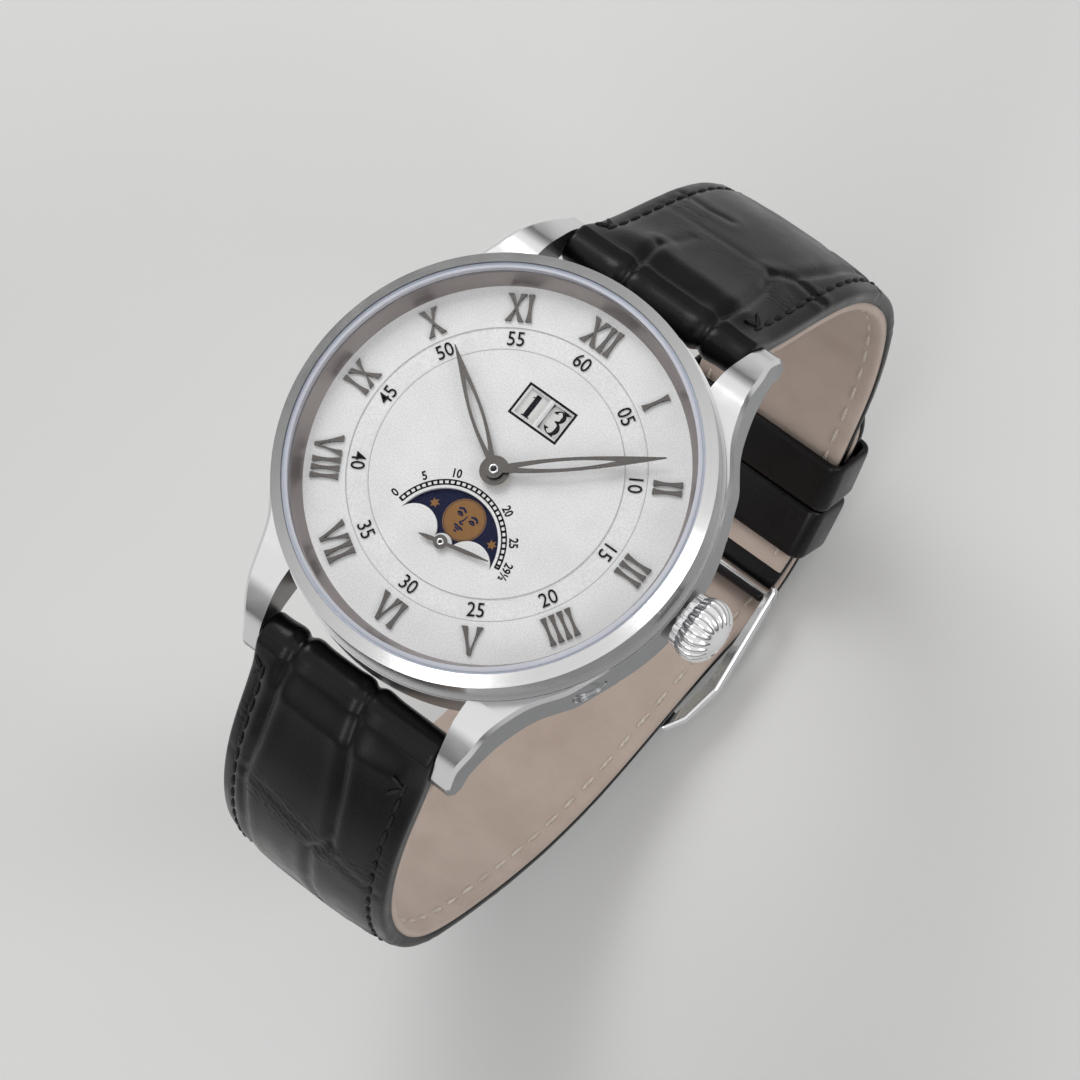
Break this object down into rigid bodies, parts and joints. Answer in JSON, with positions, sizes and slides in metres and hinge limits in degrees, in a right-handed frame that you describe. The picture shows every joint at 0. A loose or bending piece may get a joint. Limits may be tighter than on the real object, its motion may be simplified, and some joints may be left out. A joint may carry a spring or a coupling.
{
  "type": "wristwatch",
  "caption": "Moon phase wristwatch with big date and small seconds, polished steel case, raised Roman numerals, leaf hands and a black grained leather strap closed by a pin buckle",
  "frame": {"origin": "centre of the case back's flat outer face", "axes": "+Z leaves through the crystal, +Y points at twelve, +X points at the crown"},
  "size_m": [0.0462, 0.0825, 0.0798],
  "materials": {
    "brushed_case": "fine brushed steel flanks with polished edges",
    "polished_steel": "mirror polished steel",
    "crystal": "clear flat crystal",
    "seal": "black rubber seal",
    "nylon": "pale nylon ring",
    "silver_dial": "silvered white dial with fine grain",
    "grey_steel": "dark grey brushed steel",
    "date_white": "white lacquered disc",
    "moon_blue": "night blue lacquered disc",
    "nickel": "nickel plated movement metal",
    "brass": "gilt brass",
    "spring_steel": "hardened steel",
    "blued_steel": "blued steel",
    "ruby": "red synthetic ruby",
    "rotor_metal": "satin rotor metal",
    "black_leather": "black grained leather",
    "beige_lining": "pale beige lining leather"
  },
  "bodies": {
    "case": {"case_middle": "brushed_case", "case_back_ring": "brushed_case", "bezel": "polished_steel", "rehaut_ring": "polished_steel", "crown_tube": "polished_steel", "crystal": "crystal", "case_back_glass": "crystal", "case_back_gasket": "seal", "crystal_gasket": "nylon", "dial": "silver_dial", "hour_numerals": "grey_steel", "movement_holder": "nickel", "calendar_plate": "nickel", "main_plate": "nickel", "barrel_bridge": "nickel", "train_bridge": "nickel", "balance_cock": "nickel", "pusher_spring": "spring_steel", "hairspring": "spring_steel", "spring_bars": "spring_steel", "buckle_bar": "spring_steel", "rotor_bearing": "spring_steel", "movement_screws": "blued_steel", "jewels": "ruby", "strap_upper_leather": "black_leather", "strap_lower_leather": "black_leather", "keeper_fixed": "black_leather", "strap_upper_lining": "beige_lining", "strap_lower_lining": "beige_lining"},
    "winding_pinions": {"winding_pinion": "spring_steel", "sliding_pinion": "spring_steel"},
    "crown": {"crown": "polished_steel", "winding_stem": "spring_steel", "crown_gasket": "seal"},
    "crown_wheel": {"crown_wheel": "spring_steel"},
    "ratchet": {"ratchet_wheel": "spring_steel", "barrel_arbor": "spring_steel"},
    "click": {"click": "spring_steel"},
    "barrel": {"barrel": "brass", "mainspring": "spring_steel"},
    "centre_wheel": {"centre_wheel": "brass"},
    "third_wheel": {"third_wheel": "brass"},
    "fourth_wheel": {"fourth_wheel": "brass", "seconds_hand": "grey_steel"},
    "escape_wheel": {"escape_wheel": "spring_steel"},
    "pallet_fork": {"pallet_fork": "spring_steel"},
    "balance": {"balance_wheel": "brass"},
    "minute_hand": {"minute_hand": "grey_steel", "cannon_pinion": "spring_steel"},
    "minute_wheel": {"minute_wheel": "brass"},
    "hour_hand": {"hour_hand": "grey_steel", "hour_wheel": "brass"},
    "date_tens": {"date_tens_disc": "date_white"},
    "date_units": {"date_units_disc": "date_white"},
    "moon": {"moon_disc": "moon_blue"},
    "rotor": {"rotor": "rotor_metal"},
    "corrector_pusher": {"corrector_pusher": "brushed_case"},
    "buckle_frame": {"buckle_frame": "polished_steel"},
    "buckle_tongue": {"buckle_tongue": "polished_steel"},
    "keeper_free": {"keeper_free": "black_leather"}
  },
  "joints": [
    {"name": "crown_turn", "type": "hinge", "parent": "case", "child": "winding_pinions", "pos_m": [0.0105, 0, 0.0048], "axis": [1, 0, 0], "continuous": true},
    {"name": "crown_pull", "type": "slide", "parent": "winding_pinions", "child": "crown", "axis": [1, 0, 0], "range_m": [0, 0.0009]},
    {"name": "crown_wheel_turn", "type": "hinge", "parent": "case", "child": "crown_wheel", "pos_m": [0.0083, 0, 0.0061], "axis": [0, 0, 1], "continuous": true},
    {"name": "ratchet_turn", "type": "hinge", "parent": "case", "child": "ratchet", "pos_m": [0.00155, 0.0058, 0.0061], "axis": [0, 0, 1], "continuous": true},
    {"name": "click_swing", "type": "hinge", "parent": "case", "child": "click", "pos_m": [-0.0053, 0.00829, 0.0026], "axis": [0, 0, 1], "range_deg": [0, 12]},
    {"name": "barrel_turn", "type": "hinge", "parent": "case", "child": "barrel", "pos_m": [0.00155, 0.0058, 0.0061], "axis": [0, 0, 1], "continuous": true},
    {"name": "centre_turn", "type": "hinge", "parent": "case", "child": "centre_wheel", "pos_m": [0, 0, 0.0061], "axis": [0, 0, 1], "continuous": true},
    {"name": "third_turn", "type": "hinge", "parent": "case", "child": "third_wheel", "pos_m": [0.0028, -0.00435, 0.0061], "axis": [0, 0, 1], "continuous": true},
    {"name": "seconds_turn", "type": "hinge", "parent": "case", "child": "fourth_wheel", "pos_m": [0, -0.0081, 0.0061], "axis": [0, 0, 1], "continuous": true},
    {"name": "escape_turn", "type": "hinge", "parent": "case", "child": "escape_wheel", "pos_m": [-0.00368, -0.00745, 0.0061], "axis": [0, 0, 1], "continuous": true},
    {"name": "pallet_swing", "type": "hinge", "parent": "case", "child": "pallet_fork", "pos_m": [-0.00513, -0.00573, 0.0061], "axis": [0, 0, 1], "range_deg": [-5, 5]},
    {"name": "balance_swing", "type": "hinge", "parent": "case", "child": "balance", "pos_m": [-0.0069, -0.00362, 0.0061], "axis": [0, 0, 1], "range_deg": [-270, 270]},
    {"name": "minute_turn", "type": "hinge", "parent": "case", "child": "minute_hand", "pos_m": [0, 0, 0.0092], "axis": [0, 0, 1], "continuous": true},
    {"name": "minute_wheel_turn", "type": "hinge", "parent": "case", "child": "minute_wheel", "pos_m": [-0.00282, -0.00103, 0.0073], "axis": [0, 0, 1], "continuous": true},
    {"name": "hour_turn", "type": "hinge", "parent": "case", "child": "hour_hand", "pos_m": [0, 0, 0.0092], "axis": [0, 0, 1], "continuous": true},
    {"name": "date_tens_turn", "type": "hinge", "parent": "case", "child": "date_tens", "pos_m": [-0.00443, 0.00698, 0.00878], "axis": [0, 0, 1], "continuous": true},
    {"name": "date_units_turn", "type": "hinge", "parent": "case", "child": "date_units", "pos_m": [0.00522, 0.00698, 0.00863], "axis": [0, 0, 1], "continuous": true},
    {"name": "moon_turn", "type": "hinge", "parent": "case", "child": "moon", "pos_m": [0, -0.0081, 0.00878], "axis": [0, 0, 1], "continuous": true},
    {"name": "rotor_swing", "type": "hinge", "parent": "case", "child": "rotor", "pos_m": [0, 0, 0.0017], "axis": [0, 0, 1], "continuous": true},
    {"name": "corrector_press", "type": "slide", "parent": "case", "child": "corrector_pusher", "axis": [-0.866, 0.5, 0], "range_m": [0, 0.0005], "stiffness_N_per_m": 200},
    {"name": "buckle_swing", "type": "hinge", "parent": "case", "child": "buckle_frame", "pos_m": [0, 0.0164, -0.0631], "axis": [1, 0, 0], "range_deg": [0, 6]},
    {"name": "tongue_swing", "type": "hinge", "parent": "buckle_frame", "child": "buckle_tongue", "pos_m": [0, 0.0164, -0.0631], "axis": [1, 0, 0], "range_deg": [0, 8]},
    {"name": "keeper_slide", "type": "slide", "parent": "case", "child": "keeper_free", "axis": [0, 0.6446, 0.7645], "range_m": [0, 0.002]}
  ],
  "couplings": [
    {"joint": "crown_wheel_turn", "follows": "crown_turn", "ratio": 0.5},
    {"joint": "ratchet_turn", "follows": "crown_turn", "ratio": -0.36066},
    {"joint": "third_turn", "follows": "seconds_turn", "ratio": -0.13333},
    {"joint": "centre_turn", "follows": "seconds_turn", "ratio": 0.016667},
    {"joint": "barrel_turn", "follows": "seconds_turn", "ratio": -0.002381},
    {"joint": "escape_turn", "follows": "seconds_turn", "ratio": -10},
    {"joint": "minute_wheel_turn", "follows": "minute_turn", "ratio": -0.33333},
    {"joint": "hour_turn", "follows": "minute_turn", "ratio": 0.083333}
  ]
}
